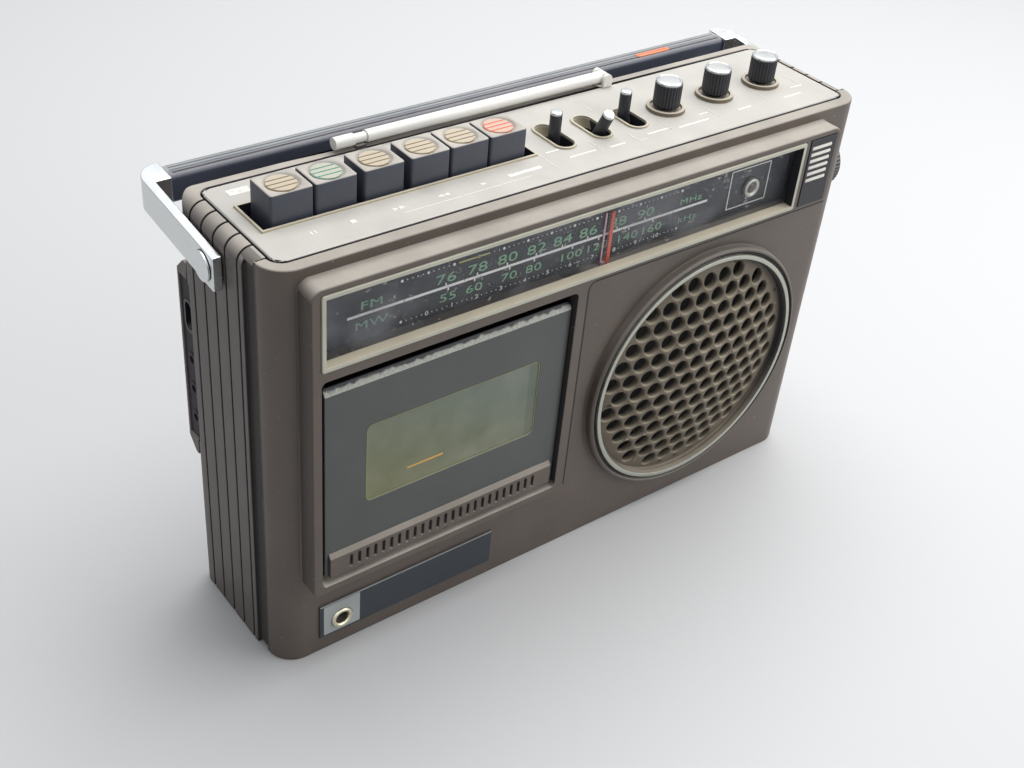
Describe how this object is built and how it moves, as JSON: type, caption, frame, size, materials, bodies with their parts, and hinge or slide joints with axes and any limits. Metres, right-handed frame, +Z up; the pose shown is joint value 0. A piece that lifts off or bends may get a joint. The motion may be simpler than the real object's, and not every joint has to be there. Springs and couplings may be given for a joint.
{
  "type": "radio cassette recorder",
  "caption": "Portable radio cassette recorder with a long tuning dial, cassette door, round speaker, piano keys, levers and knobs on top, swinging handle and telescopic antenna.",
  "frame": {"origin": "middle of the flat underside, halfway between the speaker face and the back face", "axes": "+X to the right as the front is seen, +Y from the front to the back, +Z up"},
  "size_m": [0.3252, 0.1074, 0.2128],
  "materials": {
    "cabinet_brown": "fine moulded grain, taupe brown, dusty",
    "cabinet_dark": "fine moulded grain, dark brown",
    "top_stone": "satin stone grey",
    "bright_trim": "satin silver",
    "clear_lens": "clear",
    "dial_black": "satin black with printed scales",
    "panel_black": "satin black",
    "grille_tan": "moulded grille, dusty tan",
    "bare_steel": "plain sheet steel",
    "cone_paper": "pressed paper",
    "ferrite": "matte dark grey",
    "plate_navy": "satin navy with a bright edge",
    "jack_brass": "pale plated brass",
    "board_brown": "paper laminate board",
    "cast_zinc": "cast metal",
    "bright_chrome": "polished",
    "belt_rubber": "matte black rubber",
    "door_grey": "satin grey green",
    "smoke_window": "tinted",
    "key_slate": "slate sides with pale tops",
    "knob_black": "satin black with bright caps",
    "pointer_red": "orange red",
    "spindle_ivory": "ivory moulding"
  },
  "bodies": {
    "case": {"front_shell": "cabinet_brown", "rear_shell": "cabinet_dark", "top_plate": "top_stone", "dial_frame": "bright_trim", "dial_window": "clear_lens", "dial_plate": "dial_black", "mic_panel": "panel_black", "speaker_ring": "bright_trim", "speaker_grille": "grille_tan", "speaker_basket": "bare_steel", "speaker_cone": "cone_paper", "speaker_magnet": "ferrite", "name_plate": "plate_navy", "phone_jack": "jack_brass", "level_lamp": "bright_trim", "main_board": "board_brown", "deck_plate": "panel_black", "drive_motor": "bare_steel", "power_transformer": "ferrite", "tuning_capacitor": "cast_zinc", "control_bank": "board_brown", "battery_contacts": "jack_brass", "jack_panel": "panel_black", "mains_inlet": "panel_black", "mini_jacks": "bright_chrome", "handle_pivots": "bright_chrome", "case_screws": "bare_steel", "ferrite_aerial": "ferrite", "drive_belt": "belt_rubber"},
    "battery_cover": {"battery_cover": "cabinet_dark"},
    "door": {"door_panel": "door_grey", "door_window": "smoke_window", "vent_strip": "cabinet_brown", "cassette_carrier": "bare_steel"},
    "key_pause": {"key_pause": "key_slate"},
    "key_stop": {"key_stop": "key_slate"},
    "key_forward": {"key_forward": "key_slate"},
    "key_rewind": {"key_rewind": "key_slate"},
    "key_play": {"key_play": "key_slate"},
    "key_record": {"key_record": "key_slate"},
    "lever_band": {"lever_band": "knob_black"},
    "lever_mode": {"lever_mode": "knob_black"},
    "lever_power": {"lever_power": "knob_black"},
    "knob_volume": {"knob_volume": "knob_black"},
    "knob_bass": {"knob_bass": "knob_black"},
    "knob_treble": {"knob_treble": "knob_black"},
    "tuning_knob": {"tuning_knob": "knob_black"},
    "dial_pointer": {"dial_pointer": "pointer_red"},
    "supply_spindle": {"supply_spindle": "spindle_ivory"},
    "takeup_spindle": {"takeup_spindle": "spindle_ivory"},
    "capstan_flywheel": {"capstan_flywheel": "bare_steel"},
    "motor_pulley": {"motor_pulley": "jack_brass"},
    "head_bridge": {"head_bridge": "bright_trim"},
    "pinch_roller": {"pinch_roller": "belt_rubber"},
    "handle": {"handle_arm_left": "bright_chrome", "handle_arm_right": "bright_chrome", "handle_grip": "knob_black"},
    "antenna_turret": {"antenna_turret": "bright_chrome"},
    "antenna_tube": {"antenna_tube": "bright_chrome"},
    "antenna_rod": {"antenna_rod": "bright_chrome"}
  },
  "joints": [
    {"name": "door_swing", "type": "hinge", "parent": "case", "child": "door", "pos_m": [-0.0771, -0.0395, 0.0532], "axis": [1, 0, 0], "range_deg": [0, 35]},
    {"name": "key_pause_press", "type": "slide", "parent": "case", "child": "key_pause", "axis": [0, 0, -1], "range_m": [0, 0.005], "stiffness_N_per_m": 200, "springref_m": -0.004},
    {"name": "key_stop_press", "type": "slide", "parent": "case", "child": "key_stop", "axis": [0, 0, -1], "range_m": [0, 0.005], "stiffness_N_per_m": 200, "springref_m": -0.004},
    {"name": "key_forward_press", "type": "slide", "parent": "case", "child": "key_forward", "axis": [0, 0, -1], "range_m": [0, 0.005], "stiffness_N_per_m": 200, "springref_m": -0.004},
    {"name": "key_rewind_press", "type": "slide", "parent": "case", "child": "key_rewind", "axis": [0, 0, -1], "range_m": [0, 0.005], "stiffness_N_per_m": 200, "springref_m": -0.004},
    {"name": "key_play_press", "type": "slide", "parent": "case", "child": "key_play", "axis": [0, 0, -1], "range_m": [0, 0.005], "stiffness_N_per_m": 200, "springref_m": -0.004},
    {"name": "key_record_press", "type": "slide", "parent": "case", "child": "key_record", "axis": [0, 0, -1], "range_m": [0, 0.005], "stiffness_N_per_m": 200, "springref_m": -0.004},
    {"name": "lever_band_tilt", "type": "hinge", "parent": "case", "child": "lever_band", "pos_m": [0.0008, 0.0015, 0.1868], "axis": [1, 0, 0], "range_deg": [-22, 22]},
    {"name": "lever_mode_tilt", "type": "hinge", "parent": "case", "child": "lever_mode", "pos_m": [0.0208, 0.0015, 0.1868], "axis": [1, 0, 0], "range_deg": [-50, 0]},
    {"name": "lever_power_tilt", "type": "hinge", "parent": "case", "child": "lever_power", "pos_m": [0.0408, 0.0035, 0.1868], "axis": [1, 0, 0], "range_deg": [0, 24]},
    {"name": "knob_volume_turn", "type": "hinge", "parent": "case", "child": "knob_volume", "pos_m": [0.0621, -0.0003, 0.2], "axis": [0, 0, 1], "range_deg": [-150, 150]},
    {"name": "knob_bass_turn", "type": "hinge", "parent": "case", "child": "knob_bass", "pos_m": [0.0917, -0.0003, 0.2], "axis": [0, 0, 1], "range_deg": [-150, 150]},
    {"name": "knob_treble_turn", "type": "hinge", "parent": "case", "child": "knob_treble", "pos_m": [0.1213, -0.0003, 0.2], "axis": [0, 0, 1], "range_deg": [-150, 150]},
    {"name": "tuning_turn", "type": "hinge", "parent": "case", "child": "tuning_knob", "pos_m": [0.16, -0.0105, 0.1545], "axis": [1, 0, 0], "range_deg": [-860, 280]},
    {"name": "pointer_travel", "type": "slide", "parent": "case", "child": "dial_pointer", "axis": [1, 0, 0], "range_m": [-0.0905, 0.0295]},
    {"name": "supply_spin", "type": "hinge", "parent": "case", "child": "supply_spindle", "pos_m": [-0.09835, -0.0305, 0.1035], "axis": [0, 1, 0], "continuous": true},
    {"name": "takeup_spin", "type": "hinge", "parent": "case", "child": "takeup_spindle", "pos_m": [-0.05585, -0.0305, 0.1035], "axis": [0, 1, 0], "continuous": true},
    {"name": "capstan_spin", "type": "hinge", "parent": "case", "child": "capstan_flywheel", "pos_m": [-0.0561, -0.0005, 0.0763], "axis": [0, 1, 0], "continuous": true},
    {"name": "pulley_spin", "type": "hinge", "parent": "case", "child": "motor_pulley", "pos_m": [-0.1181, -0.0005, 0.0603], "axis": [0, 1, 0], "continuous": true},
    {"name": "head_rise", "type": "slide", "parent": "case", "child": "head_bridge", "axis": [0, 0, 1], "range_m": [0, 0.0045]},
    {"name": "pinch_spin", "type": "hinge", "parent": "head_bridge", "child": "pinch_roller", "pos_m": [-0.0561, -0.0305, 0.0643], "axis": [0, 1, 0], "continuous": true},
    {"name": "handle_swing", "type": "hinge", "parent": "case", "child": "handle", "pos_m": [0, 0.0043, 0.184], "axis": [1, 0, 0], "range_deg": [0, 90]},
    {"name": "antenna_swivel", "type": "hinge", "parent": "case", "child": "antenna_turret", "pos_m": [0.053, 0.0331, 0.199], "axis": [0, 0, 1], "range_deg": [-180, 0]},
    {"name": "antenna_tilt", "type": "hinge", "parent": "antenna_turret", "child": "antenna_tube", "pos_m": [0.053, 0.0331, 0.2025], "axis": [0, -1, 0], "range_deg": [-90, 0]},
    {"name": "antenna_extend", "type": "slide", "parent": "antenna_tube", "child": "antenna_rod", "axis": [-1, 0, 0], "range_m": [0, 0.1]},
    {"name": "cover_swing", "type": "hinge", "parent": "case", "child": "battery_cover", "pos_m": [-0.0643, 0.03425, 0.01355], "axis": [-1, 0, 0], "range_deg": [0, 90]}
  ],
  "couplings": [
    {"joint": "pointer_travel", "follows": "tuning_turn", "m_per_rad": 0.006},
    {"joint": "pulley_spin", "follows": "capstan_spin", "ratio": 6},
    {"joint": "head_rise", "follows": "key_play_press", "ratio": 0.9}
  ]
}
